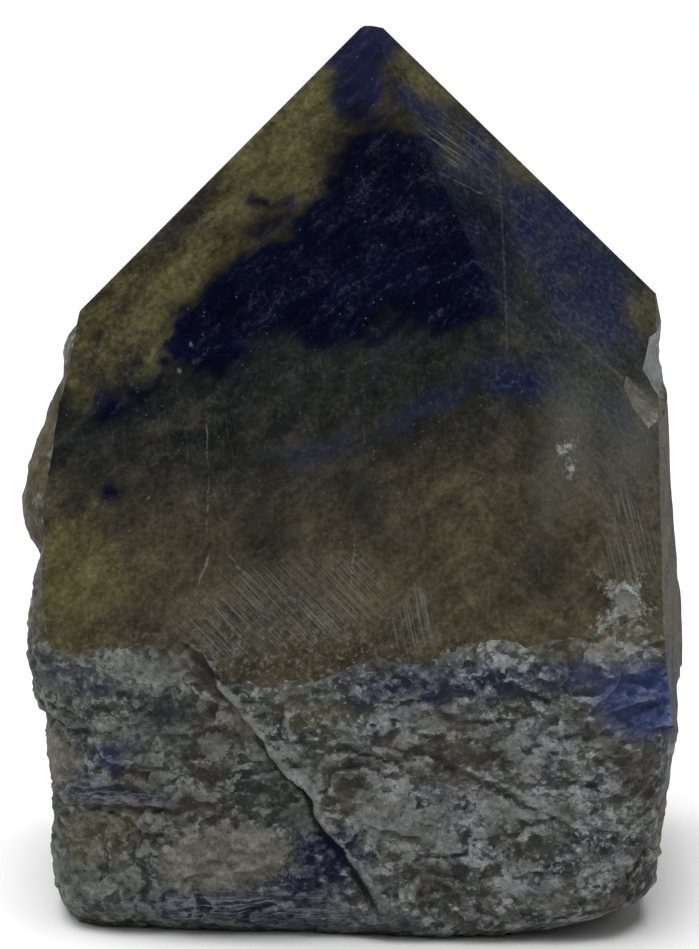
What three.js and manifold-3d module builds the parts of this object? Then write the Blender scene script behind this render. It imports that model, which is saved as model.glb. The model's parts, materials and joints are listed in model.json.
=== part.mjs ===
// A sodalite point: one natural stone. Its lower part keeps the rough, broken skin of the rock, its
// upper part is ground and polished into flat facets that meet in a point, and it stands on a small
// flat sawn spot.
//
// Millimetres and degrees. X runs to the right, Y to the back and Z up. The origin is on the flat spot.

import * as THREE from 'three';
import { mergeVertices } from 'three/addons/utils/BufferGeometryUtils.js';
import Module from 'manifold-3d';

const wasm = await Module();
wasm.setup();

// Driving dimensions of the rough stone.
const HALF_WIDTH = 33;
const HALF_DEPTH = 23;
const AXIS_X = 0;
const AXIS_Y = 0.5;
const WAIST_HEIGHT = 30;
const SHOULDER_HEIGHT = 62;
const BLANK_HEIGHT = 97;
const RIM_HEIGHT = 4.5;
const CORNER_SHARPNESS = 15;
const LEAST_FACING = 0.05;

// How finely the skin is divided: steps along each side, and steps up each storey of the wall.
const FRONT_STEPS = 56;
const SIDE_STEPS = 22;
const BACK_STEPS = 32;
const LOWER_ROWS = 26;
const UPPER_ROWS = 13;
const LOWER_ROWS_TOP = 34;
const UPPER_ROWS_TOP = 64;

// The natural faces of the rock. A facing is the compass direction in the XY plane, with -90 to the
// front. The reaches are distances from the upright axis at the base, the waist and the shoulder,
// and rim is what is broken off around the flat spot.
const NATURAL_FACES = [
  { name: 'front', facing: -94, base: 21.5, waist: 23.6, shoulder: 23.0, rim: 2.8 },
  { name: 'front right corner', facing: -46, base: 33.6, waist: 40.5, shoulder: 38.0, rim: 7.5 },
  { name: 'right', facing: 3, base: 30.3, waist: 35.3, shoulder: 32.4, rim: 1.4 },
  { name: 'back right corner', facing: 50, base: 34.0, waist: 36.0, shoulder: 33.5, rim: 5.0 },
  { name: 'back', facing: 93, base: 22.0, waist: 23.6, shoulder: 22.4, rim: 2.0 },
  { name: 'back left corner', facing: 137, base: 32.5, waist: 34.5, shoulder: 30.0, rim: 5.0 },
  { name: 'left', facing: 178, base: 30.0, waist: 31.9, shoulder: 26.2, rim: 1.0 },
  { name: 'front left corner', facing: -146, base: 34.4, waist: 39.4, shoulder: 35.0, rim: 2.4 },
];

// The ground and polished facets. Lean is how far a facet faces up, and reach is the distance of its
// plane from the origin.
const POLISHED_FACETS = [
  { name: 'front', facing: -96, lean: 19, reach: 31.4 },
  { name: 'right front', facing: -51.6, lean: 30.7, reach: 48.74 },
  { name: 'right strip', facing: -10, lean: 5.3, reach: 36.75 },
  { name: 'right back', facing: 28, lean: 43.7, reach: 63.4 },
  { name: 'back', facing: 98, lean: 38, reach: 54.8 },
  { name: 'left', facing: 175, lean: 44.5, reach: 61.8 },
  { name: 'blunted tip', facing: -70, lean: 84, reach: 89.3 },
];

// Rounded lumps (positive height) and shell-shaped hollows (negative height) of the natural skin.
// Each is placed by a point near the skin, with its half size along the wall and up the wall.
const LUMPS = [
  { name: 'left shoulder lump', at: [-32.5, 10.5, 42], along: 12, up: 12.5, height: 6.0 },
  { name: 'top of the shoulder lump', at: [-28.5, 9, 56], along: 9, up: 9, height: 3.2 },
  { name: 'plate above the rim', at: [-11, -21, 8.6], along: 11, up: 5.5, height: 1.5 },
  { name: 'hollow in the upper left plate', at: [-20, -20.5, 31], along: 10, up: 8, height: -1.5 },
  { name: 'right block', at: [12, -22.5, 24], along: 15, up: 9, height: 0.7 },
  { name: 'right shelf', at: [34, -6, 27], along: 9, up: 6, height: 0.8 },
  { name: 'dark recess', at: [-25, -17.5, 10], along: 6, up: 5, height: -1.2 },
  { name: 'scoop low on the right', at: [33.5, -4, 15], along: 8, up: 6, height: -0.9 },
  { name: 'scoop in the back', at: [6, 24, 21], along: 15, up: 13, height: -2.6 },
  { name: 'scoop in the back left corner', at: [-25, 21, 18], along: 10, up: 9, height: -2.2 },
  { name: 'lump on the back', at: [-14, 24, 40], along: 12, up: 9, height: 1.8 },
  { name: 'lump on the back right', at: [27, 21, 33], along: 10, up: 12, height: 1.7 },
  { name: 'scoop in the left side', at: [-31, 0, 17], along: 11, up: 8, height: -1.8 },
  { name: 'scoop in the right side', at: [35, 12, 40], along: 9, up: 10, height: -1.6 },
];

// Broken ledges. Each runs along the wall from one place to another, where a place is the distance
// around the wall from the middle of the front, to the right, and the height. The skin on the right
// of that walk is lower by the drop and comes back to level over the fade.
const LEDGES = [
  { name: 'diagonal break', from: [-14.5, 28.6], to: [3, 4.2], drop: 1.5, fade: 10 },
  { name: 'head of the diagonal break', from: [-19, 30.8], to: [-13, 28], drop: 0.6, fade: 4 },
  { name: 'foot of the left plate', from: [-42, 22.6], to: [-19, 20.2], drop: 1.3, fade: 9 },
  { name: 'thin left ledge', from: [-31, 14.2], to: [-19, 13.6], drop: 1.0, fade: 6 },
  { name: 'right block ridge', from: [8, 20.3], to: [22, 12.6], drop: 0.8, fade: 7 },
  { name: 'step on the right corner', from: [29, 22.6], to: [46, 21.8], drop: 1.5, fade: 9 },
  { name: 'right side break', from: [46, 38], to: [60, 14], drop: 1.5, fade: 9 },
  { name: 'long back break', from: [84, 44], to: [112, 25], drop: 1.8, fade: 12 },
  { name: 'low back break', from: [-108, 15], to: [-84, 9], drop: 1.4, fade: 8 },
  { name: 'left side break', from: [-72, 33], to: [-44, 25], drop: 1.6, fade: 10 },
];

const LEDGE_SOFTNESS = 0.7;
const LEDGE_ENDS = 2;
const LEDGE_RAGGEDNESS = { size: 3.1, height: 0.8 };

// Shell-shaped chips knocked out of the polished edges.
const CHIPS = [
  { name: 'right shoulder chip', at: [31.4, -11.8, 54.9], radius: 4.8 },
  { name: 'frosted chip above it', at: [32.9, -8.3, 59.6], radius: 5.5 },
  { name: 'bruise at the foot of the ridge', at: [28.3, -26.8, 37.3], radius: 4.0 },
  { name: 'nick in the ridge', at: [21.7, -20.7, 49.0], radius: 2.3 },
];
const CHIP_DETAIL = 2;

// The uneven grain of the break: coarse swells, then smaller knobs. The shift keeps the two apart.
const GRAIN = [
  { size: 13, height: 0.75, shift: 17.3 },
  { size: 5.5, height: 0.4, shift: 34.6 },
];

function directionOf(facing, lean = 0) {
  const turn = THREE.MathUtils.degToRad(facing);
  const rise = THREE.MathUtils.degToRad(lean);
  const flat = Math.cos(rise);
  return new THREE.Vector3(Math.cos(turn) * flat, Math.sin(turn) * flat, Math.sin(rise));
}

// A repeatable number from 0 to 1 for one corner of a lattice.
function latticeValue(i, j, k) {
  const mixed = Math.sin(i * 127.1 + j * 311.7 + k * 74.7) * 43758.5453;
  return mixed - Math.floor(mixed);
}

// Smooth noise from -1 to 1, with one swell about every unit.
function smoothNoise(x, y, z) {
  const cell = [Math.floor(x), Math.floor(y), Math.floor(z)];
  const part = [x - cell[0], y - cell[1], z - cell[2]].map((t) => t * t * (3 - 2 * t));
  let sum = 0;
  for (let corner = 0; corner < 8; corner += 1) {
    const step = [corner & 1, (corner >> 1) & 1, (corner >> 2) & 1];
    let weight = 1;
    for (let axis = 0; axis < 3; axis += 1) {
      weight *= step[axis] ? part[axis] : 1 - part[axis];
    }
    sum += weight * latticeValue(cell[0] + step[0], cell[1] + step[1], cell[2] + step[2]);
  }
  return 2 * sum - 1;
}

function grainHeight(x, y, z) {
  let height = 0;
  for (const { size, height: tall, shift } of GRAIN) {
    height += tall * smoothNoise(x / size + shift, y / size, z / size);
  }
  return height;
}

// The reach of one natural face at a height, straight between base, waist and shoulder.
function faceReach(face, z) {
  const lower = THREE.MathUtils.clamp(z / WAIST_HEIGHT, 0, 1);
  const upper = THREE.MathUtils.clamp((z - WAIST_HEIGHT) / (SHOULDER_HEIGHT - WAIST_HEIGHT), 0, 1);
  const broken = Math.max(0, 1 - z / RIM_HEIGHT);
  const wall = face.base + (face.waist - face.base) * lower + (face.shoulder - face.waist) * upper;
  return wall - face.rim * broken * broken;
}

// The rock's plain outline: the natural faces that look this way, with their corners rounded.
function outlineRadius(angle, z) {
  let sum = 0;
  for (const face of NATURAL_FACES) {
    const across = Math.cos(angle - THREE.MathUtils.degToRad(face.facing));
    if (across > LEAST_FACING) {
      sum += Math.pow(across / faceReach(face, z), CORNER_SHARPNESS);
    }
  }
  return Math.pow(sum, -1 / CORNER_SHARPNESS);
}

function lumpHeight(x, y, z) {
  let height = 0;
  for (const lump of LUMPS) {
    const along = Math.hypot(x - lump.at[0], y - lump.at[1]) / lump.along;
    const up = (z - lump.at[2]) / lump.up;
    const inside = Math.max(0, 1 - along * along - up * up);
    height += lump.height * inside * inside * (3 - 2 * inside);
  }
  return height;
}

function ledgeHeight(around, z) {
  let height = 0;
  for (const ledge of LEDGES) {
    const run = new THREE.Vector2(ledge.to[0] - ledge.from[0], ledge.to[1] - ledge.from[1]);
    const length = run.length();
    run.normalize();
    const there = new THREE.Vector2(around - ledge.from[0], z - ledge.from[1]);
    const along = there.dot(run);
    const ragged = LEDGE_RAGGEDNESS.height
      * smoothNoise(around / LEDGE_RAGGEDNESS.size, z / LEDGE_RAGGEDNESS.size, 0.5);
    const beyond = there.x * run.y - there.y * run.x + ragged;
    const side = THREE.MathUtils.smoothstep(beyond, -LEDGE_SOFTNESS, LEDGE_SOFTNESS);
    const ends = Math.min(
      THREE.MathUtils.smoothstep(along, -LEDGE_ENDS, LEDGE_ENDS),
      THREE.MathUtils.smoothstep(length - along, -LEDGE_ENDS, LEDGE_ENDS),
    );
    height -= ledge.drop * side * ends * Math.exp(-Math.max(0, beyond) / ledge.fade);
  }
  return height;
}

// The corners of the plain block that the wall is measured around, from the middle of the front.
const AROUND_CORNERS = [
  { around: 0, x: 0, y: -HALF_DEPTH, steps: FRONT_STEPS / 2 },
  { around: HALF_WIDTH, x: HALF_WIDTH, y: -HALF_DEPTH, steps: SIDE_STEPS },
  { around: HALF_WIDTH + 2 * HALF_DEPTH, x: HALF_WIDTH, y: HALF_DEPTH, steps: BACK_STEPS },
  { around: 3 * HALF_WIDTH + 2 * HALF_DEPTH, x: -HALF_WIDTH, y: HALF_DEPTH, steps: SIDE_STEPS },
  { around: 3 * HALF_WIDTH + 4 * HALF_DEPTH, x: -HALF_WIDTH, y: -HALF_DEPTH, steps: FRONT_STEPS / 2 },
  { around: 4 * (HALF_WIDTH + HALF_DEPTH), x: 0, y: -HALF_DEPTH, steps: 0 },
];
const COLUMNS = FRONT_STEPS + 2 * SIDE_STEPS + BACK_STEPS;
const FULL_TURN = 4 * (HALF_WIDTH + HALF_DEPTH);

// Column number to a place on the plain block: its direction from the axis and its distance around.
function columnPlace(column) {
  let left = column % COLUMNS;
  let side = 0;
  while (left >= AROUND_CORNERS[side].steps) {
    left -= AROUND_CORNERS[side].steps;
    side += 1;
  }
  const start = AROUND_CORNERS[side];
  const end = AROUND_CORNERS[side + 1];
  const part = left / start.steps;
  const x = THREE.MathUtils.lerp(start.x, end.x, part);
  const y = THREE.MathUtils.lerp(start.y, end.y, part);
  const around = THREE.MathUtils.lerp(start.around, end.around, part);
  return { angle: Math.atan2(y, x), around: around > FULL_TURN / 2 ? around - FULL_TURN : around };
}

// Row number to height: fine rows in the broken lower part, wider ones above it, one up to the top.
function rowHeight(row) {
  if (row <= LOWER_ROWS) {
    return (LOWER_ROWS_TOP * row) / LOWER_ROWS;
  }
  if (row <= LOWER_ROWS + UPPER_ROWS) {
    return THREE.MathUtils.lerp(LOWER_ROWS_TOP, UPPER_ROWS_TOP, (row - LOWER_ROWS) / UPPER_ROWS);
  }
  return BLANK_HEIGHT;
}

function skinPoint(column, row) {
  const place = columnPlace(column);
  const z = rowHeight(row);
  const plain = outlineRadius(place.angle, z);
  const x = plain * Math.cos(place.angle);
  const y = plain * Math.sin(place.angle);
  const relief = lumpHeight(x + AXIS_X, y + AXIS_Y, z) + ledgeHeight(place.around, z) + grainHeight(x, y, z);
  const radius = plain + relief;
  return new THREE.Vector3(
    AXIS_X + radius * Math.cos(place.angle),
    AXIS_Y + radius * Math.sin(place.angle),
    z,
  );
}

// The rough rock before grinding: a closed drum whose wall is pushed in and out to the natural skin.
function roughRock() {
  const rows = LOWER_ROWS + UPPER_ROWS + 1;
  const drum = new THREE.CylinderGeometry(1, 1, 1, COLUMNS, rows);
  drum.rotateX(Math.PI / 2);
  const points = drum.getAttribute('position');
  for (let index = 0; index < points.count; index += 1) {
    const x = points.getX(index);
    const y = points.getY(index);
    const row = Math.round((points.getZ(index) + 0.5) * rows);
    if (Math.hypot(x, y) < 0.5) {
      points.setXYZ(index, AXIS_X, AXIS_Y, rowHeight(row));
    } else {
      const turn = (Math.atan2(y, x) / (2 * Math.PI) + 1) % 1;
      const place = skinPoint(Math.round(turn * COLUMNS), row);
      points.setXYZ(index, place.x, place.y, place.z);
    }
  }
  return drum;
}

// Everything beyond one facet's plane, as a block to grind away.
function grindingBlock(facet) {
  const size = 4 * BLANK_HEIGHT;
  const outward = directionOf(facet.facing, facet.lean);
  const block = new THREE.BoxGeometry(size, size, size);
  const turn = new THREE.Quaternion().setFromUnitVectors(new THREE.Vector3(0, 0, 1), outward);
  block.applyQuaternion(turn);
  block.translate(...outward.clone().multiplyScalar(facet.reach + size / 2).toArray());
  return block;
}

function chipScoop(chip) {
  const scoop = new THREE.IcosahedronGeometry(chip.radius, CHIP_DETAIL);
  scoop.translate(...chip.at);
  return scoop;
}

function toSolid(geometry) {
  geometry.deleteAttribute('normal');
  geometry.deleteAttribute('uv');
  const merged = mergeVertices(geometry);
  const mesh = new wasm.Mesh({
    numProp: 3,
    vertProperties: new Float32Array(merged.getAttribute('position').array),
    triVerts: new Uint32Array(merged.getIndex().array),
  });
  return new wasm.Manifold(mesh);
}

function toGeometry(solid) {
  const mesh = solid.getMesh();
  const geometry = new THREE.BufferGeometry();
  geometry.setAttribute('position', new THREE.BufferAttribute(mesh.vertProperties, mesh.numProp));
  geometry.setIndex(new THREE.BufferAttribute(mesh.triVerts, 1));
  geometry.computeVertexNormals();
  return geometry;
}

function sodaliteStone() {
  let stone = toSolid(roughRock());
  for (const facet of POLISHED_FACETS) {
    stone = stone.subtract(toSolid(grindingBlock(facet)));
  }
  for (const chip of CHIPS) {
    stone = stone.subtract(toSolid(chipScoop(chip)));
  }
  const material = new THREE.MeshStandardMaterial({ color: 0x33353f, roughness: 0.5, metalness: 0 });
  const mesh = new THREE.Mesh(toGeometry(stone), material);
  mesh.name = 'sodalite_stone';
  return mesh;
}

const part = new THREE.Group();
part.add(sodaliteStone());

export default part;
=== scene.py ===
"""Rough sodalite: a broken stone whose upper part is ground and polished into a point."""

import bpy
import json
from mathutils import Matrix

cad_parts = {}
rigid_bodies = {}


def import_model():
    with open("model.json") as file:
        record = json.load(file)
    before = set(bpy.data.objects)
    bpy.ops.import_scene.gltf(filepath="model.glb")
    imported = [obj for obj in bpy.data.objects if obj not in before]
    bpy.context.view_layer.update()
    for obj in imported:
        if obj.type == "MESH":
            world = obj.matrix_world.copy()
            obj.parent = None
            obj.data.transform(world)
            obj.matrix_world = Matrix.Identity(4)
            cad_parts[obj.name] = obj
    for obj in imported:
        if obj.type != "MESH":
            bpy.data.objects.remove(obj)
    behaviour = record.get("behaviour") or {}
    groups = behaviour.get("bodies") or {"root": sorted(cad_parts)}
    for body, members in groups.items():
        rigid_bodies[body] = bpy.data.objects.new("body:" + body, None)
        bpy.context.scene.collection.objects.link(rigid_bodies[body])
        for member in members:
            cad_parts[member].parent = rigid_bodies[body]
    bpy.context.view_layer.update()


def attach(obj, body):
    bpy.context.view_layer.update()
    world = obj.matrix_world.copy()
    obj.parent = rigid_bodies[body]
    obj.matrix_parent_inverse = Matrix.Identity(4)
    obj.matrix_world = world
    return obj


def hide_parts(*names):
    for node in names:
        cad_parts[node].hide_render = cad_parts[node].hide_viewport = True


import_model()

import json
import math
from itertools import combinations

import bmesh
import bpy
import numpy as np
from mathutils import Matrix, Vector

bl_info = {
    "name": "Rough Sodalite Point",
    "version": (1, 0, 0),
    "blender": (4, 5, 0),
    "location": "View3D > Sidebar > Sodalite",
    "description": "Builds a rough sodalite with a polished point, its materials and its stage",
    "category": "Object",
}

STONE_NODE = "sodalite_stone"
PIECE_NAME = "rough_sodalite"
MM = 0.001

# ----- The shape of the stone, in millimetres and degrees, as in the solid -----

AXIS = (0.0, 0.5)
HALF_WIDTH = 33.0
HALF_DEPTH = 23.0
RIM_HEIGHT = 4.5
WAIST_HEIGHT = 30.0
SHOULDER_HEIGHT = 62.0
BLANK_HEIGHT = 97.0
CORNER_SHARPNESS = 15
LEAST_FACING = 0.05
# The walk around a block of that width and depth, from the middle of its back over its corners,
# with the columns of the mesh between each two of them. Then heights, and the rows between them.
WALK_CORNERS = (-112.0, -79.0, -33.0, 33.0, 79.0, 112.0)
WALK_COLUMNS = (66, 96, 262, 102, 66)
HEIGHT_STOPS = (0.0, 34.0, 64.0, BLANK_HEIGHT)
HEIGHT_ROWS = (134, 56, 1)

# Facing of each natural face, then its reach at the base, waist and shoulder, and what is broken
# off it around the foot.
NATURAL_FACES = {
    "front": (-94, 21.5, 23.6, 23.0, 2.8),
    "front right corner": (-46, 33.6, 40.5, 38.0, 7.5),
    "right": (3, 30.3, 35.3, 32.4, 1.4),
    "back right corner": (50, 34.0, 36.0, 33.5, 5.0),
    "back": (93, 22.0, 23.6, 22.4, 2.0),
    "back left corner": (137, 32.5, 34.5, 30.0, 5.0),
    "left": (178, 30.0, 31.9, 26.2, 1.0),
    "front left corner": (-146, 34.4, 39.4, 35.0, 2.4),
}

# Facing, lean and reach of each ground facet.
POLISHED_FACETS = {
    "front": (-96, 19, 31.4),
    "right front": (-51.6, 30.7, 48.74),
    "right strip": (-10, 5.3, 36.75),
    "right back": (28, 43.7, 63.4),
    "back": (98, 38, 54.8),
    "left": (175, 44.5, 61.8),
    "blunted tip": (-70, 84, 89.3),
}

# Middle, half length along the wall, half height and swell of each lump or hollow.
LUMPS = {
    "left shoulder lump": ((-32.5, 10.5, 42), 12, 12.5, 6.0),
    "top of the shoulder lump": ((-28.5, 9, 56), 9, 9, 3.2),
    "plate above the rim": ((-11, -21, 8.6), 11, 5.5, 1.5),
    "hollow in the upper left plate": ((-20, -20.5, 31), 10, 8, -1.5),
    "right block": ((12, -22.5, 24), 15, 9, 0.7),
    "right shelf": ((34, -6, 27), 9, 6, 0.8),
    "dark recess": ((-25, -17.5, 10), 6, 5, -1.2),
    "scoop low on the right": ((33.5, -4, 15), 8, 6, -0.9),
    "scoop in the back": ((6, 24, 21), 15, 13, -2.6),
    "scoop in the back left corner": ((-25, 21, 18), 10, 9, -2.2),
    "lump on the back": ((-14, 24, 40), 12, 9, 1.8),
    "lump on the back right": ((27, 21, 33), 10, 12, 1.7),
    "scoop in the left side": ((-31, 0, 17), 11, 8, -1.8),
    "scoop in the right side": ((35, 12, 40), 9, 10, -1.6),
    "worn edge under the front facet": ((-6, -22, 33.5), 12, 4.5, -0.8),
    "worn edge under the right strip": ((34, -6, 31), 10, 6, -1.1),
    "worn corner below it": ((33, -12, 27), 7, 8, -1.2),
}

# Each ledge runs from one place on the wall to another, a place being the distance around from the
# middle of the front and the height. Then come its drop on the right-hand side and its fade.
LEDGES = {
    "upper diagonal break": ((-14.5, 28.6), (-4.6, 14.7), 0.7, 10),
    "lower diagonal break": ((-7.4, 18.7), (3, 4.2), 1.2, 10),
    "head of the diagonal break": ((-19, 30.8), (-13, 28), 0.6, 4),
    "foot of the left plate": ((-43, 22.8), (-28, 21.6), 0.8, 9),
    "thin left ledge": ((-31, 14.2), (-19, 13.6), 0.6, 6),
    "right block ridge": ((8, 20.3), (22, 12.6), 0.45, 7),
    "step on the right corner": ((29, 22.6), (46, 21.8), 0.8, 9),
    "right side break": ((47, 30), (62, 12), 1.0, 9),
    "long back break": ((84, 44), (112, 25), 1.8, 12),
    "low back break": ((-108, 15), (-84, 9), 1.4, 8),
    "left side break": ((-72, 33), (-44, 25), 1.6, 10),
}
LEDGE_ENDS = 2.0
# Size and height of each layer of their ragged edges.
LEDGE_RAGGEDNESS = ((3.1, 0.8), (0.9, 0.22))
CREVICE_DEPTH = 0.25
CREVICE_WIDTH = 0.34
# How much broader the steps are beside and behind the front, where the mesh is coarser.
BROADER_BEHIND = 1.8

# Scar of each shell-shaped chip: its middle, facing and lean, then depth, half width and half
# height, and the straight sides that it broke along, each with its angle from the right and its
# distance from the middle as a share of the scar.
CHIPS = {
    "right shoulder chip": (
        (29.4, -9.3, 52.8), -51.6, 30.7, 0.8, 2.9, 3.8,
        ((47, 0.44), (188, 0.6), (214, 0.58), (287, 0.72)),
    ),
    "frosted chip above it": (
        (31.5, 1.1, 55.5), -14.7, 0.0, 0.95, 7.9, 3.6,
        ((100, 0.8), (150, 0.84), (205, 0.86)),
    ),
    "bruise at the foot of the ridge": (
        (26.4, -24.2, 35.6), -70.0, 25.0, 0.8, 1.8, 2.0, ((60, 0.6), (150, 0.7)),
    ),
    "nick in the ridge": ((21.2, -19.6, 48.5), -72.0, 26.0, 0.3, 0.8, 1.6, ()),
}
# How flat the shells are: the share of their depth that stays outside the stone.
CHIP_FLATNESS = 0.84
CHIP_SIDE_LEAN = 0.7
CHIP_DIVISIONS = 5
# Height of each layer of ripples, how many there are along its axes, and which axes are shifted.
CHIP_RIPPLES = ((0.04, (2.6, 2.6, 2.6), (1, 0)), (0.012, (9, 9, 5), (0, 1)))

# Size, height and shift of each layer of the coarse grain.
GRAIN = ((13.0, 0.75, 17.3), (5.5, 0.4, 34.6))

# Small cleavage planes of the break: how many cells around the whole wall, cell height, how proud
# and how steep they stand, and how crisply they meet.
CLEAVAGE = (
    {"cells": 40, "tall": 3.1, "proud": 0.12, "steep": 0.11, "crisp": 32.0, "seed": 1.0},
    {"cells": 128, "tall": 0.95, "proud": 0.05, "steep": 0.08, "crisp": 24.0, "seed": 2.0},
)
# How far the cells' edges wander and over what width, and where their middles may lie.
CELL_WANDER = 0.45
CELL_WANDER_WIDTH = 1.3
CELL_MARGIN = 0.15
CELL_SPREAD = 0.7
# Torn scales of the break: how wide and tall they swell, the drop at their lips, how many there are
# to a swell, and a shift that tells the layers apart.
TERRACES = (
    {"wide": 9.0, "tall": 5.5, "drop": 0.36, "count": 1.6, "shift": 3.3},
    {"wide": 3.6, "tall": 2.4, "drop": 0.13, "count": 1.3, "shift": 8.1},
)
TERRACE_LIP = 0.88
# Size and share of each layer of their swells.
TERRACE_SWELLS = ((1.0, 1.0), (0.38, 0.45), (0.12, 0.12))
# The finest pits and knobs: their size along each axis, a shift and their share.
PITS = (((0.62, 0.62, 0.5), 0, 1.0), ((1.5, 1.5, 1.1), 5, 0.6))
# How much of that relief is left at the edge of a ground facet, and where it is whole again.
RIM_CALM = 0.3
RIM_WIDTH = 2.4
# Width and height of the calmer and busier stretches of the break, and how much relief the calmest
# of them keep.
CALM_SIZES = (11.0, 6.5)
CALM_SHIFT = 6.5
CALM_TO_BUSY = (-0.4, 0.3)
CALMEST = 0.35
FULL_WALK = 4 * (HALF_WIDTH + HALF_DEPTH)
SEAM_BLEND = 8.0
# Parts of the turn between two facets at which their edge is worn round.
EASE_STEPS = (0.25, 0.5, 0.75)
WELD = 1e-3
CUT_TOLERANCE = 1e-5
LEAST_EDGE = 1e-4
# How many steps away the skin is compared with itself, and the height that counts as fully proud.
PROUD_REACHES = (1, 4)
PROUD_SCALE = 0.5
EVEN_SKIN = 0.5
LATTICE_STEPS = (127.1, 311.7, 74.7)
LATTICE_SPREAD = 43758.5453
# The stone's two materials, by their place in its list.
POLISHED, BROKEN = 0, 1


def direction_of(facing, lean):
    turn, rise = math.radians(facing), math.radians(lean)
    return Vector(
        (math.cos(turn) * math.cos(rise), math.sin(turn) * math.cos(rise), math.sin(rise))
    )


def smooth(value, low, high):
    part = np.clip((value - low) / (high - low), 0, 1)
    return part * part * (3 - 2 * part)


def lattice(i, j, k):
    """A repeatable number from 0 to 1 for each corner of a lattice."""
    a, b, c = LATTICE_STEPS
    mixed = np.sin(i * a + j * b + k * c) * LATTICE_SPREAD
    return mixed - np.floor(mixed)


def smooth_noise(x, y, z):
    """Smooth noise from -1 to 1, with one swell about every unit."""
    place = (x, y, z)
    cell = [np.floor(v) for v in place]
    part = [(v - c) ** 2 * (3 - 2 * (v - c)) for v, c in zip(place, cell)]
    total = 0.0
    for corner in range(8):
        step = (corner & 1, corner >> 1 & 1, corner >> 2 & 1)
        weight = 1.0
        for t, s in zip(part, step):
            weight = weight * (t if s else 1 - t)
        total = total + weight * lattice(*(c + s for c, s in zip(cell, step)))
    return 2 * total - 1


def outline_radius(angle, z):
    """How far the plain rock reaches at each angle and height, with its corners rounded."""
    low = np.clip(z / WAIST_HEIGHT, 0, 1)
    high = np.clip((z - WAIST_HEIGHT) / (SHOULDER_HEIGHT - WAIST_HEIGHT), 0, 1)
    broken = np.maximum(0, 1 - z / RIM_HEIGHT) ** 2
    total = 0.0
    for facing, base, waist, shoulder, rim in NATURAL_FACES.values():
        reach = base + (waist - base) * low + (shoulder - waist) * high - rim * broken
        across = np.cos(angle - math.radians(facing))
        share = np.where(across > LEAST_FACING, across, 0) / reach
        total = total + share**CORNER_SHARPNESS
    return total ** (-1 / CORNER_SHARPNESS)


def lump_height(x, y, z):
    height = 0.0
    for (mx, my, mz), along, up, swell in LUMPS.values():
        inside = 1 - (np.hypot(x - mx, y - my) / along) ** 2 - ((z - mz) / up) ** 2
        inside = np.maximum(0, inside)
        height = height + swell * inside**2 * (3 - 2 * inside)
    return height


def ledge_height(around, z, softness):
    """Steps at the ledges, each with a narrow crevice at its foot."""
    still = np.full_like(z, 0.5)
    ragged = sum(
        tall * smooth_noise(around / size, z / size, still) for size, tall in LEDGE_RAGGEDNESS
    )
    broader = np.interp(
        np.abs(around), (HALF_WIDTH, HALF_WIDTH + LEDGE_ENDS), (1, BROADER_BEHIND)
    )
    softness = softness * broader
    height = 0.0
    for start, end, drop, fade in LEDGES.values():
        run = np.subtract(end, start)
        length = math.hypot(*run)
        run = run / length
        there = (around - start[0], z - start[1])
        along = there[0] * run[0] + there[1] * run[1]
        beyond = there[0] * run[1] - there[1] * run[0] + ragged
        ends = np.minimum(
            smooth(along, -LEDGE_ENDS, LEDGE_ENDS), smooth(length - along, -LEDGE_ENDS, LEDGE_ENDS)
        )
        side = smooth(beyond, -softness, softness)
        height = height - drop * side * ends * np.exp(-np.maximum(0, beyond) / fade)
        crevice = np.exp(-(((beyond - softness) / (CREVICE_WIDTH * broader)) ** 2))
        height = height - CREVICE_DEPTH * drop * ends * crevice
    return height


def cleavage_height(around, z, cells, tall, proud, steep, crisp, seed):
    """Small tilted planes that meet in crisp steps, as the stone breaks. They close up behind.

    What is added to the seed only tells the draws apart.
    """
    wide = FULL_WALK / cells
    places = (around / (CELL_WANDER_WIDTH * wide), z / tall)
    a = around / wide + CELL_WANDER * smooth_noise(*places, np.full_like(z, seed))
    b = z / tall + CELL_WANDER * smooth_noise(*places, np.full_like(z, seed + 7))
    middle_a, middle_b = np.floor(a), np.floor(b)
    planes, closeness = [], []
    for step_a in (-1, 0, 1):
        for step_b in (-1, 0, 1):
            i, j = middle_a + step_a, middle_b + step_b
            name = np.mod(i, cells)
            near_a = a - (i + CELL_MARGIN + CELL_SPREAD * lattice(name, j, seed))
            near_b = b - (j + CELL_MARGIN + CELL_SPREAD * lattice(name, j, seed + 11))
            lift = proud * (2 * lattice(name, j, seed + 23) - 1)
            lean_a = steep * (2 * lattice(name, j, seed + 31) - 1) * wide
            lean_b = steep * (2 * lattice(name, j, seed + 43) - 1) * tall
            planes.append(lift + lean_a * near_a + lean_b * near_b)
            closeness.append(near_a**2 + near_b**2)
    nearest = np.minimum.reduce(closeness)
    shares = [np.exp(-crisp * (c - nearest)) for c in closeness]
    return sum(s * p for s, p in zip(shares, planes)) / sum(shares)


def terrace_height(around, z, wide, tall, drop, count, shift):
    """Overlapping scales: a surface that climbs slowly and then breaks off in a sharp lip."""
    still = np.full_like(z, shift)
    climb = count * sum(
        share * smooth_noise(around / (size * wide), z / (size * tall), still)
        for size, share in TERRACE_SWELLS
    )
    part = climb - np.floor(climb)
    rise, fall = part / TERRACE_LIP, (1 - part) / (1 - TERRACE_LIP)
    return drop * (np.where(part < TERRACE_LIP, rise, fall) - 0.5)


def rim_calm(x, y, z):
    """How far the relief may stand out: less along the edges of the ground facets."""
    beyond = []
    for facing, lean, reach in POLISHED_FACETS.values():
        outward = direction_of(facing, lean)
        beyond.append(outward.x * x + outward.y * y + outward.z * z - reach)
    return RIM_CALM + (1 - RIM_CALM) * smooth(np.abs(np.maximum.reduce(beyond)), 0, RIM_WIDTH)


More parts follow.
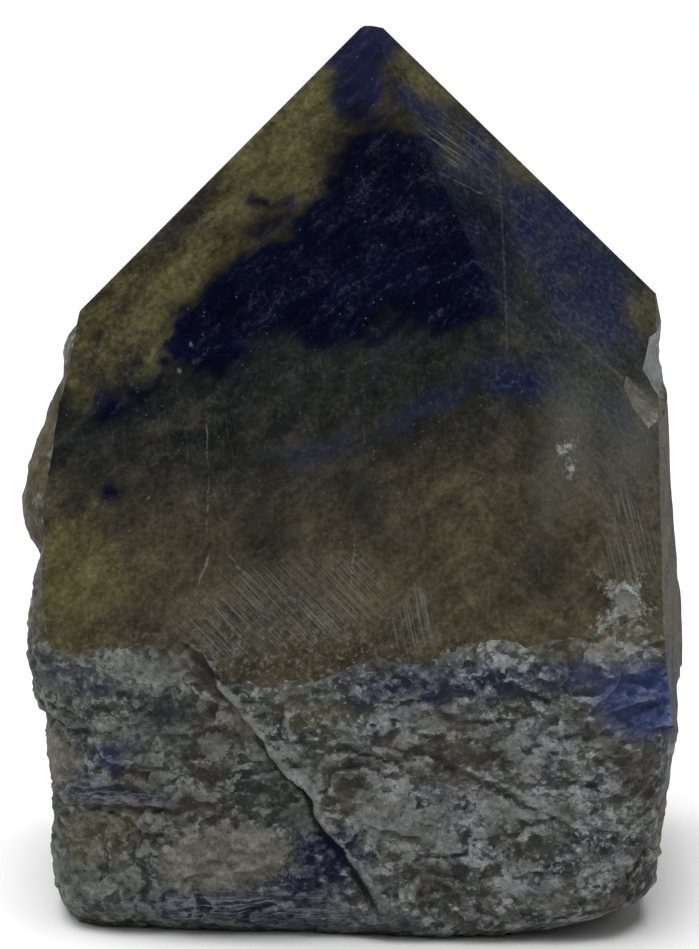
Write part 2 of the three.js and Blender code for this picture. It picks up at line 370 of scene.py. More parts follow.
def wall_relief(around, z, sizes, calm):
    """The height of the ledges, scales and cleavage planes on the wall."""
    fine = sum(cleavage_height(around, z, **layer) for layer in CLEAVAGE)
    fine = fine + sum(terrace_height(around, z, **layer) for layer in TERRACES)
    busy = smooth_noise(around / CALM_SIZES[0], z / CALM_SIZES[1], np.full_like(z, CALM_SHIFT))
    fine = fine * calm * (CALMEST + (1 - CALMEST) * smooth(busy, *CALM_TO_BUSY))
    return ledge_height(around, z, sizes.ledge_softness / MM) + sizes.flake_height / MM * fine


def skin(around, z, sizes):
    """Places on the rough skin for places on the wall, and the height of its relief."""
    wide, deep = HALF_WIDTH, HALF_DEPTH
    block_x = np.interp(around, WALK_CORNERS, (0, -wide, -wide, wide, wide, 0))
    block_y = np.interp(around, WALK_CORNERS, (deep, deep, -deep, -deep, deep, deep))
    angle = np.arctan2(block_y, block_x)
    plain = outline_radius(angle, z)
    x, y = plain * np.cos(angle), plain * np.sin(angle)
    # towards the middle of the back, the two ends of the walk pass into each other
    calm = rim_calm(x + AXIS[0], y + AXIS[1], z)
    share = 0.5 * smooth(np.abs(around), FULL_WALK / 2 - SEAM_BLEND, FULL_WALK / 2)
    other = around - FULL_WALK * np.sign(around)
    relief = (1 - share) * wall_relief(around, z, sizes, calm)
    relief = relief + share * wall_relief(other, z, sizes, calm)
    pits = sum(
        part * smooth_noise(x / a + shift, y / b, z / c) for (a, b, c), shift, part in PITS
    )
    relief = relief + sizes.pit_height / MM * pits
    radius = plain + relief + lump_height(x + AXIS[0], y + AXIS[1], z)
    for size, tall, shift in GRAIN:
        radius = radius + tall * smooth_noise(x / size + shift, y / size, z / size)
    x, y = AXIS[0] + radius * np.cos(angle), AXIS[1] + radius * np.sin(angle)
    return np.stack((x, y, z), axis=1), relief


def evened(heights, reach):
    """Heights on a grid, evened out over so many steps to each side."""
    share = np.full(2 * reach + 1, 1 / (2 * reach + 1))
    for axis in (0, 1):
        heights = np.apply_along_axis(
            lambda line: np.convolve(np.pad(line, reach, "edge"), share, "valid"), axis, heights
        )
    return heights


def standing_proud(relief):
    """From 0 in a crevice to 1 on a lip, and one half where the skin is even."""
    heights = relief.reshape(sum(HEIGHT_ROWS) + 1, sum(WALK_COLUMNS) + 1)
    around_it = sum(evened(heights, reach) for reach in PROUD_REACHES) / len(PROUD_REACHES)
    return np.clip(EVEN_SKIN + (heights - around_it) / PROUD_SCALE, 0, 1).ravel()


def stepped(part, counts, stops):
    """Spreads evenly numbered columns or rows over stops, with its own count between each two."""
    marks = np.concatenate(([0], np.cumsum(counts))) / sum(counts)
    return np.interp(part, marks, stops)


def as_mesh(bm, name):
    mesh = bpy.data.meshes.new(name)
    bm.to_mesh(mesh)
    bm.free()
    return mesh


def note_proud(mesh, values):
    """Keeps how proud each place of the skin stands, for its colours: painted shade in its
    crevices, and on its lips pale flakes that are partly a painted highlight.
    """
    mesh.attributes.new("proud", "FLOAT", "POINT").data.foreach_set("value", values)


def rough_rock(sizes):
    """The rock before grinding: a sheet wrapped around the stone and pushed in and out."""
    grid, columns, rows = bmesh.new(), sum(WALK_COLUMNS), sum(HEIGHT_ROWS)
    bmesh.ops.create_grid(grid, x_segments=columns, y_segments=rows, size=1)
    sheet = as_mesh(grid, "rock sheet")
    flat = np.empty(len(sheet.vertices) * 3)
    sheet.vertices.foreach_get("co", flat)
    flat = (flat.reshape(-1, 3) + 1) / 2
    around = stepped(flat[:, 0], WALK_COLUMNS, WALK_CORNERS)
    place, relief = skin(around, stepped(flat[:, 1], HEIGHT_ROWS, HEIGHT_STOPS), sizes)
    sheet.vertices.foreach_set("co", place.ravel())
    note_proud(sheet, standing_proud(relief))
    rock = bmesh.new()
    rock.from_mesh(sheet)
    bpy.data.meshes.remove(sheet)
    bmesh.ops.remove_doubles(rock, verts=rock.verts, dist=WELD)
    for face in rock.faces:
        face.material_index, face.smooth = BROKEN, True
    open_edges = [edge for edge in rock.edges if edge.is_boundary]
    bmesh.ops.edgeloop_fill(rock, edges=open_edges, mat_nr=BROKEN)
    bmesh.ops.recalc_face_normals(rock, faces=rock.faces)
    return rock


def grind(rock, outward, reach, rounded=False):
    """Cuts off what lies beyond a plane and closes the cut with one polished face."""
    parts = [*rock.verts, *rock.edges, *rock.faces]
    cut = bmesh.ops.bisect_plane(
        rock, geom=parts, dist=CUT_TOLERANCE, plane_co=outward * reach, plane_no=outward,
        clear_outer=True,
    )
    rim = [part for part in cut["geom_cut"] if isinstance(part, bmesh.types.BMEdge)]
    if rim:
        made = bmesh.ops.triangle_fill(rock, use_beauty=True, edges=rim, normal=outward)
        for face in made["geom"]:
            if isinstance(face, bmesh.types.BMFace):
                face.material_index, face.smooth = POLISHED, rounded


def grind_facets(rock, ease):
    """Grinds the facets, then rounds the edge between each two of them by their radius."""
    facets = POLISHED_FACETS.values()
    planes = [(direction_of(facing, lean), reach) for facing, lean, reach in facets]
    for outward, reach in planes:
        grind(rock, outward, reach)
    places = np.array([vert.co for vert in rock.verts])
    for (first, first_reach), (second, second_reach) in combinations(planes, 2):
        pull = ease / (1 + first.dot(second))
        for part in EASE_STEPS:
            outward = first.slerp(second, part)
            # outward as a sum of the two facings, so that its plane runs along their edge
            both = Matrix(((1, first.dot(second)), (first.dot(second), 1)))
            share = both.inverted() @ Vector((outward.dot(first), outward.dot(second)))
            reach = share[0] * first_reach + share[1] * second_reach
            reach += ease - pull * outward.dot(first + second)
            if (places @ np.array(outward)).max() > reach:
                grind(rock, outward, reach, rounded=True)
    bmesh.ops.dissolve_degenerate(rock, dist=LEAST_EDGE, edges=rock.edges)


def chip_cutter(name, middle, facing, lean, deep, wide, tall, sides):
    """A flat, shell-shaped scoop with straight sides and the faint ripples of a fresh break."""
    outward = direction_of(facing, lean)
    upward = (Vector((0, 0, 1)) - outward * outward.z).normalized()
    spread = math.sqrt(1 - CHIP_FLATNESS**2)
    reach = deep / (1 - CHIP_FLATNESS)
    along = (outward * reach, upward.cross(outward) * wide / spread, upward * tall / spread)
    bm = bmesh.new()
    bmesh.ops.create_icosphere(bm, subdivisions=CHIP_DIVISIONS, radius=1)
    for angle, share in sides:
        across = (math.cos(math.radians(angle)), math.sin(math.radians(angle)))
        rim = Vector((-CHIP_FLATNESS, share * spread * across[0], share * spread * across[1]))
        side = Vector((-CHIP_SIDE_LEAN, *across)).normalized()
        grind(bm, side, side.dot(rim))
    for vert in bm.verts:
        x, y, z = (np.array([c]) for c in vert.co)
        ripple = 0.0
        for height, (a, b, c), (shift_x, shift_y) in CHIP_RIPPLES:
            shifted = (a * x + shift_x * wide, b * y + shift_y * wide, c * z)
            ripple += height * smooth_noise(*shifted)[0]
        spot = sum((axis * at for axis, at in zip(along, vert.co * (1 + ripple))), Vector())
        vert.co = Vector(middle) + outward * reach * CHIP_FLATNESS + spot
    bmesh.ops.recalc_face_normals(bm, faces=bm.faces)
    for face in bm.faces:
        face.material_index, face.smooth = BROKEN, True
    mesh = as_mesh(bm, name)
    note_proud(mesh, np.full(len(mesh.vertices), EVEN_SKIN))
    return bpy.data.objects.new(name, mesh)


def knock_out_chips(stone):
    """Subtracts the chips from the stone's mesh."""
    chips = bpy.data.collections.new("chips")
    bpy.context.scene.collection.children.link(chips)
    for name, scar in CHIPS.items():
        cutter = chip_cutter(name, *scar)
        for material in stone.data.materials:
            cutter.data.materials.append(material)
        chips.objects.link(cutter)
    knock = stone.modifiers.new("chips", "BOOLEAN")
    knock.operation, knock.solver = "DIFFERENCE", "MANIFOLD"
    knock.operand_type, knock.collection = "COLLECTION", chips
    whole = stone.data
    seen = stone.evaluated_get(bpy.context.evaluated_depsgraph_get())
    chipped = bpy.data.meshes.new_from_object(seen)
    if len(chipped.polygons) == len(whole.polygons):
        raise RuntimeError("the chips were not cut out of the stone")
    stone.modifiers.clear()
    stone.data = chipped
    bpy.data.meshes.remove(whole)
    for cutter in list(chips.objects):
        bpy.data.meshes.remove(cutter.data)
    bpy.data.collections.remove(chips)
    stone.data.name = PIECE_NAME


# ----- The stone's colours: bodies of minerals that run through it, in millimetres -----

# Each body has its middle, its half sizes and how it is turned in the plane of the front, with
# positive turns rising to the right.
NAVY_BODIES = {
    "tip": ((1.3, -2, 88.2), (3.6, 7, 3), 0),
    "neck": ((0.8, -3, 83.6), (2.2, 8, 4), 0),
    "crown head": ((2.6, -6, 75), (6.4, 9, 4.6), 0),
    "crown heart": ((4, -9, 69.3), (10, 10, 6.4), 0),
    "crown right foot": ((10.4, -12, 64.4), (5.4, 9, 4.6), -10),
    "crown left arm": ((-7.7, -10, 64.1), (10.4, 9, 4.5), 26),
    "crown underside": ((-1.4, -11, 61.6), (6.4, 8, 3), 0),
    "crown middle": ((5.2, -12, 62.8), (3.6, 8, 2.4), 0),
    "end of the arm": ((-14.3, -11, 60), (3.6, 8, 3.6), 30),
    "between ridge and fracture": ((12.6, -9, 68.6), (3.2, 7, 8), 10),
    "knob": ((7.4, -7, 77.6), (1.5, 4, 1.5), 0),
    "lower knob": ((8.8, -8, 75.4), (1.3, 4, 1.3), 0),
    "upper island": ((-7.9, -7, 72.4), (2, 5, 0.8), -10),
    "lower island": ((-7.7, -8, 70.5), (2.3, 5, 0.7), 10),
    "blot under the arm": ((-13.2, -12, 57.2), (3.8, 6, 1.7), 10),
    "tail": ((-20.4, -12.5, 54), (5.4, 5, 0.8), 38),
    "small blot": ((-23.7, -12.8, 52.2), (1.6, 4, 1.2), 0),
    "low blot": ((-23.1, -15.6, 44.3), (0.9, 3, 0.6), 0),
    "low dark flake field": ((-3.6, -21, 8), (5.6, 6, 3.4), 20),
    "heart of the left patch": ((-23.8, -19, 18.8), (1.2, 4, 0.7), 0),
    "band on the back": ((6, 22, 52), (20, 9, 5), -24),
    "body in the back": ((-12, 23, 30), (9, 7, 6), 30),
    "body in the right side": ((33, 12, 30), (6, 9, 5), 0),
}
BLUE_BODIES = {
    "band beside the tip": ((6.6, -4, 82), (4.6, 7, 0.9), -38),
    "band going on": ((13, -4, 77), (3.6, 7, 2.2), -50),
    "field on the right front": ((21.6, -4, 67.6), (9.6, 10, 4.6), -42),
    "lower field": ((24, -6, 62), (6, 9, 3), -40),
    "arc rising": ((8, -16, 53), (3.6, 5, 0.9), 28),
    "crown of the arc": ((16.6, -17, 55.8), (3.6, 7, 2), 0),
    "arc falling": ((21.6, -14, 53.6), (3.6, 6, 0.6), -28),
    "streak by the chip": ((27.6, -12, 50.6), (2.6, 5, 0.8), -48),
    "faint cloud": ((-3.4, -16, 48.8), (2.4, 4, 0.5), 10),
    "royal patch": ((28.6, -18, 26.2), (6.8, 9, 4.8), 0),
    "band under the polish": ((11, -22, 27.4), (11.5, 7, 1.8), 4),
    "left patch": ((-23.2, -18, 18.8), (2.2, 5, 1.2), 20),
    "left streaks": ((-24.5, -17, 26.4), (3, 6, 0.4), -16),
    "streaked rim": ((-10, -20, 3), (10.5, 8, 1.5), -2),
    "streaks above the rim": ((-23, -18, 15.4), (4, 6, 0.9), -4),
    "cloud in the left side": ((-30, 2, 30), (6, 10, 5), 0),
    "cloud in the back": ((18, 22, 36), (10, 7, 7), 30),
}
KHAKI_BODIES = {
    "upper left slope": ((-7.6, -6, 76.6), (8, 10, 3.4), 45),
    "streak below the tip": ((-4.6, -4, 82.2), (3.6, 9, 1.8), 45),
    "strip beside the tip": ((6.6, -2, 86), (3.6, 7, 1.6), -42),
    "patch on the right slope": ((18.6, -1, 75), (3.2, 7, 2.2), -42),
    "patch on the right shoulder": ((29.5, -2, 61.6), (2.2, 6, 1.6), -30),
    "spot": ((24.6, -2, 68), (1.1, 4, 0.8), 0),
    "left band": ((-18, -9, 63.4), (6.4, 10, 2.6), 45),
    "foot of the slope": ((-24.6, -9, 62), (3.4, 10, 0.9), 45),
    "band by the arm": ((-17.6, -11, 58.4), (3.4, 7, 1.7), 50),
    "inlet": ((-5.1, -8, 72.9), (2, 4, 1), 0),
    "lower left": ((-27, -17, 36), (4.2, 8, 6.2), 0),
    "left recess": ((-25, -18, 10.6), (4.4, 6, 3.2), 0),
    "right of the diagonal": ((-4, -22, 25), (5.4, 6, 3), -40),
    "foot of the lump": ((-34, 9, 40), (6, 9, 9), 0),
    "left edge": ((-27.6, -11, 55.6), (2, 6, 2.6), 0),
    "on the back": ((-10, 18, 58), (9, 8, 4), 30),
    "low on the back": ((14, 23, 16), (9, 6, 6), -20),
}
GREY_BODIES = {
    "under the crown": ((-2, -14, 56), (17, 9, 4.4), 0),
    "neck gap": ((4, -6, 80.6), (4, 6, 1.3), 0),
    "slope": ((-16.6, -8, 69.6), (3.4, 6, 1.5), 45),
    "under the arc": ((5.6, -17, 50.6), (5, 6, 1), 10),
    "left shadow": ((-13.4, -16, 46.8), (9, 6, 1.5), -6),
    "its foot": ((-8.2, -19, 40.4), (2.2, 5, 3), 0),
    "old fracture": ((1.2, -18, 43.8), (2, 4, 3), 0),
    "greenish cloud": ((19, -26, 38.6), (2.4, 5, 2.8), 0),
    "recess": ((-25, -18, 10.4), (4, 6, 3.2), 0),
}
BEIGE_BODIES = {
    "plate above the rim": ((-12.6, -22, 8.8), (7.4, 5, 3.2), 8),
    "right edge": ((31.5, -12, 13), (2.6, 9, 7), 0),
    "fresh break by the diagonal": ((-10.4, -22, 22.6), (2.4, 4, 1.3), -42),
    "shoulder chip": ((29.6, -10, 52.6), (3.4, 5, 4.8), 0),
    "upper left corner": ((-27, -16, 29.5), (3, 5, 1.8), 0),
    "tan edge": ((-28.6, -14, 18.4), (2.8, 8, 4), 0),
}
# Fine healed cracks and white dots: long, thin or small bodies.
CRACKS = {
    "long crack": ((-14, -14.8, 49.4), (2.2, 3, 0.08), 92),
    "its lower end": ((-13.9, -17, 43.6), (2.6, 3, 0.06), 88),
    "branch": ((-14.2, -19, 37.6), (1.6, 2, 0.14), 70),
    "second branch": ((-10.9, -19.2, 37.9), (1.5, 2, 0.1), -50),
    "short crack": ((0.3, -20.2, 38.6), (2.4, 2, 0.1), 84),
    "scratch below the tip": ((9.6, -6, 77.8), (1.9, 5, 0.05), -31),
    "scratch above the fracture": ((12.4, -7, 73.6), (3, 5, 0.06), -26),
    "dot by the arm": ((-15.6, -11.5, 58.6), (0.2, 2, 0.34), 40),
    "dot below it": ((-16.8, -12.2, 56.2), (0.24, 2, 0.24), 0),
    "low dot": ((-19.8, -16, 44.1), (0.22, 2, 0.22), 0),
}
FAINT_CRACKS = {
    "upright fracture": ((15.3, -8, 66.6), (6, 8, 0.08), 91),
    "line on the right front": ((26.6, -9, 55.6), (5.6, 8, 0.12), -41),
}
BRUISES = {
    "on the ridge": ((20.6, -18.5, 49.2), (0.36, 2.2, 0.36), 0),
    "beside it": ((21.4, -18.5, 49.6), (0.3, 2.2, 0.3), 0),
    "below it": ((21.4, -19.2, 47.4), (0.3, 2.2, 0.42), 0),
    "at the foot of the ridge": ((26.6, -24.6, 35.8), (1.5, 3, 1.4), 20),
    "arm of the lowest": ((26, -24.3, 35), (2.8, 3, 0.7), 48),
    "other arm": ((26.4, -24.4, 36), (2, 3, 0.5), -30),
}
# Frosted faces of the fresh chips.
FROSTED_CHIPS = {
    "upper chip": ((32.4, 0, 56.2), (3.4, 12, 5), 0),
    "rim between the chips": ((31.4, -9.4, 53.6), (1.6, 4, 0.9), -30),
    "foot of the lower chip": ((31.2, -11, 49.6), (1.4, 4, 0.9), 0),
}

# Single pale plates that stand out on the break.
PALE_PLATES = {
    "under the blue band": ((6.4, -22, 24.4), (2, 3, 1), -5),
    "long one beside it": ((10.3, -22, 22.4), (2.6, 3, 0.6), -6),
    "third in the row": ((15.6, -22, 21.8), (1.3, 3, 1.1), 30),
    "left of the diagonal": ((-13.2, -20.5, 20.2), (1.9, 3, 1.6), 35),
    "bean": ((-15.7, -20.5, 16.2), (1.1, 3, 0.6), -35),
    "crescent": ((-11.2, -20.5, 17.2), (1.6, 3, 0.6), 55),
    "ridge on the left": ((-22.6, -20, 21.6), (2.6, 3, 0.45), -22),
    "right of the diagonal": ((-5.4, -22, 19.4), (1.6, 3, 0.6), -45),
    "low on the right": ((17.6, -22, 8.6), (1.9, 3, 0.5), -10),
    "on the back": ((4, 22, 30), (2.6, 4, 1.6), 20),
}

# Where pale flakes crowd on the break, and where few of them are.
FLAKED_BODIES = {
    "under the left of the polish": ((-18.1, -20.5, 27.4), (3.8, 5, 0.9), -26),
    "left ridge": ((-23.5, -18, 22.2), (2.4, 5, 1.1), -10),
    "low left corner": ((-26.5, -18, 5.6), (2.8, 5, 2), 0),
    "corner of the plate": ((-5.6, -21, 8.4), (2, 4, 1.2), 0),
    "cluster on the right block": ((5.8, -22, 14.2), (5.6, 6, 4.6), -30),
    "streaks beside it": ((15, -22, 15), (5, 6, 1.5), -26),
    "patch on the right": ((25.6, -20, 15.6), (2.8, 5, 1.9), 0),
    "low wedge": ((15.4, -21, 6.4), (1.2, 5, 2.8), 50),
    "patch under the blue band": ((6.2, -22, 23.4), (2.6, 5, 1.1), 0),
    "second patch under it": ((15.6, -22, 20.8), (2.6, 5, 0.9), -10),
    "beside the royal patch": ((26.4, -22, 31), (3.6, 5, 1.3), 8),
}
BARE_BODIES = {
    "right of the diagonal": ((-7.2, -22, 25.4), (7, 6, 3.4), -36),
    "left of the diagonal": ((-18.4, -21, 22.6), (3.6, 6, 2), -10),
    "top of the left plate": ((-21.5, -20, 30.2), (6, 5, 1.3), 8),
    "below the blue band": ((19.4, -22, 19.4), (10, 6, 1.7), 0),
    "right of the middle": ((19.4, -21, 10.6), (2.8, 5, 3), 0),
    "low in the middle": ((12.6, -21, 6.8), (1.7, 4, 2.4), 0),
    "right edge": ((29.6, -15, 13), (2.2, 8, 6), 0),
    "low dark field": ((-3.2, -21, 8.4), (4.4, 6, 2.8), 20),
    "above the plate": ((-11.6, -21, 17), (6.6, 5, 2), -22),
    "lump": ((-33, 9, 42), (6, 9, 11), 0),
}

# Zones of web-like veins, of haze, of grinding scratches and of fine stripes.
WEB_ZONES = (
    ((3.4, -8, 75.6), (5.6, 6, 2.4), 0),
    ((5.6, -9, 70.6), (5.6, 6, 1), -8),
    ((-8, -11, 63.6), (7, 6, 0.9), 24),
)
HAZE_ZONES = (
    ((24, -8, 58.6), (4.6, 6, 3.2), -30),
    ((24, -14, 52), (4, 8, 9), 12),
    ((11.6, -6, 75.6), (2.4, 6, 1.6), -30),
    ((14.6, -16, 60.5), (0.8, 6, 4), 0),
)
PALE_ZONES = (
    ((21, -17, 48.6), (2.6, 8, 6.4), -14),
    ((28.4, -12, 49.6), (1.8, 7, 4.6), -24),
)
SLANTED_HATCH = (((-6.8, -20.5, 33.8), (11, 6, 3.8), 14),)
STEEP_HATCH = (((6.2, -21.5, 33.4), (2.6, 6, 3.4), 0), ((27, -18, 40), (3, 6, 5), 0))
UPPER_HATCH = (((11, -5, 77.6), (4.2, 5, 2), -34),)
STREAKED_ZONES = (
    ((-10, -20, 2.6), (11, 8, 2), -2),
    ((-23.5, -18, 14.8), (3.6, 6, 1), -4),
)

# What reaches the surface of the polish, and of the break below and behind it.
POLISH_FOOT = 30
BREAK_TOP = 44
BREAK_SIDE = 26
BREAK_BACK = 8

# Each mineral's bodies, how softly it fades in millimetres, and whether its edge is crisp.
MINERALS = {
    "grey": (GREY_BODIES, 2.4, False),
    "khaki": (KHAKI_BODIES, 1.8, False),
    "beige": (BEIGE_BODIES, 0.6, True),
    "blue": (BLUE_BODIES, 1.4, False),
    "navy": (NAVY_BODIES, 1, False),
}
# Uneven edges in millimetres: a shift, then how far the grains and the clouds push the edge.
RAGGED = (-3.4, 1.8, 5)
CRUMBLED = (-1.7, 3)
CRUSHED = (-1.7, 3.2)
# How places wander: the size of the swells and how far they go.
FREE_WANDER = (4.5, 4.4)
TIGHT_WANDER = (1.6, 1)
FEATHER_MIDDLE = 12
# Sideways run of the diagonal break for each millimetre of its height.
DIAGONAL_SLANT = 0.72

# Noises: how long they are drawn out along X, Y and Z, their turn in the plane of the front, then
# scale, detail and roughness.
PATTERNS = {
    "clouds": ((1.5, 1.5, 1), 35, 0.32, 5, 0.62),
    "grains": (None, 0, 1.9, 4, 0.72),
    "swell": (None, 0, 0.11, 3, 0.55),
    "broad swell": (None, 0, 0.1, 2, 0.5),
    "flecks": (None, 0, 0.8, 3, 0.6),
    "fog": (None, 0, 0.55, 5, 0.72),
    "feathers": ((5, 5, 0.7), 42, 1, 4, 0.62),
    "thread": ((1.6, 1.6, 1), -12, 0.24, 3, 0.5),
    "wide": ((1.6, 1.6, 1), 8, 0.24, 4, 0.55),
    "thin": ((2.2, 1.6, 1), -24, 0.5, 3, 0.6),
    "shreds": ((2, 1.6, 1), -32, 0.85, 6, 0.75),
    "streaks": ((3.2, 3.2, 0.24), 2, 1, 2, 0.6),
    "upright": ((0.4, 0.4, 3), 6, 1, 3, 0.6),
}
# Grinding scratches: their turn, spacing and length, and how few of them show.
SCRATCHES = {
    "slanted": (-44, 0.08, 7, 0.48),
    "steep": (-78, 0.09, 5, 0.52),
    "fine": (-36, 0.11, 5, 0.55),
    "stray": (-84, 0.12, 6, 0.65),
}
LINES = (1, 1, 0.4)
LINE_SOFTNESS = 0.14
WANDER_NOISE = (3, 0.55)
# The middling values of a noise, and how near the plane of its facet a place on it lies.
MIDDLING = (0.3, 0.7)
NEAR_FACET = (0.12, 0.04)
POLISH_SHINE = 0.02
BREAK_SHINE = 0.1

# Where one look passes into another: heights on the polish first.
GREY_TO_BROWN = (62, 47)
GREY_TO_SLOPE = (66, 78)
FEATHERED = (46, 62)
DUSKY_BLUE = (57, 52)
CROWN_TO_NECK = (76, 82)
NECK_TO_TIP = (79, 84)
WORN_FOOT = (42, 35)
# Then the height of the olive part of the break, and places from left to right on it.
OLIVE_BREAK = (31, 35)
CLEAR_BLUE = (19, 25)
BLUER_LEFT = (-18, -23)
WARMER_LEFT = (4, -14)
BEYOND_DIAGONAL = (4, 8)


class Recipe:
    """Adds and joins the nodes of a material, or of the surround."""

    def __init__(self, owner):
        owner.use_nodes = True
        self.owner, self.tree = owner, owner.node_tree
        self.tree.nodes.clear()

    def add(self, kind, inputs=(), **settings):
        node = self.tree.nodes.new("ShaderNode" + kind)
        for name, value in settings.items():
            setattr(node, name, value)
        for name, value in dict(inputs).items():
            self.feed(node.inputs[name], value)
        return node

    def feed(self, socket, value):
        if isinstance(value, bpy.types.NodeSocket):
            self.tree.links.new(value, socket)
        elif value is not None:
            socket.default_value = value

    def math(self, operation, first, second=None, third=None):
        node = self.add("Math", operation=operation)
        for socket, value in zip(node.inputs, (first, second, third)):
            self.feed(socket, value)
        return node.outputs[0]

    def times(self, value, *others):
        for other in others:
            value = self.math("MULTIPLY", value, other)
        return value

    def most(self, value, *others):
        for other in others:
            value = self.math("MAXIMUM", value, other)
        return value

    def plus(self, value, *parts):
        """The value and, of each part, the share that comes with it."""
        for part, share in parts:
            value = self.math("MULTIPLY_ADD", part, share, value)
        return value

    def step(self, value, low, high, start=0, end=1):
        """Goes softly from the start to the end while the value goes from low to high."""
        names = ("Value", "From Min", "From Max", "To Min", "To Max")
        inputs = zip(names, (value, low, high, start, end))
        return self.add("MapRange", inputs, interpolation_type="SMOOTHSTEP").outputs["Result"]

    def vector(self, operation, first, second=None, scale=None):
        node = self.add("VectorMath", operation=operation)
        self.feed(node.inputs[0], first)
        self.feed(node.inputs[1], second)
        if scale is not None:
            node.inputs["Scale"].default_value = scale
        return node.outputs["Value" if operation == "LENGTH" else "Vector"]

    def noise(self, place, scale, detail, roughness):
        values = {"Vector": place, "Scale": scale, "Detail": detail, "Roughness": roughness}
        return self.add("TexNoise", values).outputs

    def blend(self, share, first, second, kind="MIX"):
        node = self.add("Mix", data_type="RGBA", blend_type=kind)
        self.feed(node.inputs[0], share)
        self.feed(node.inputs[6], first)
        self.feed(node.inputs[7], second)
        return node.outputs[2]

    def relief(self, height, depth, strength):
        """Fine dents and ridges, with their depth in millimetres."""
        inputs = {"Height": height, "Distance": depth * MM, "Strength": strength}
        return self.add("Bump", inputs).outputs[0]

    def finish(self, colour, roughness, shine, relief=None):
        surface = self.add("BsdfPrincipled", {
            "Base Color": colour, "Roughness": roughness, "Specular IOR Level": shine,
            "Normal": relief,
        })
        output = self.add("OutputMaterial", {"Surface": surface.outputs["BSDF"]})
        output.is_active_output = True
        return self.owner


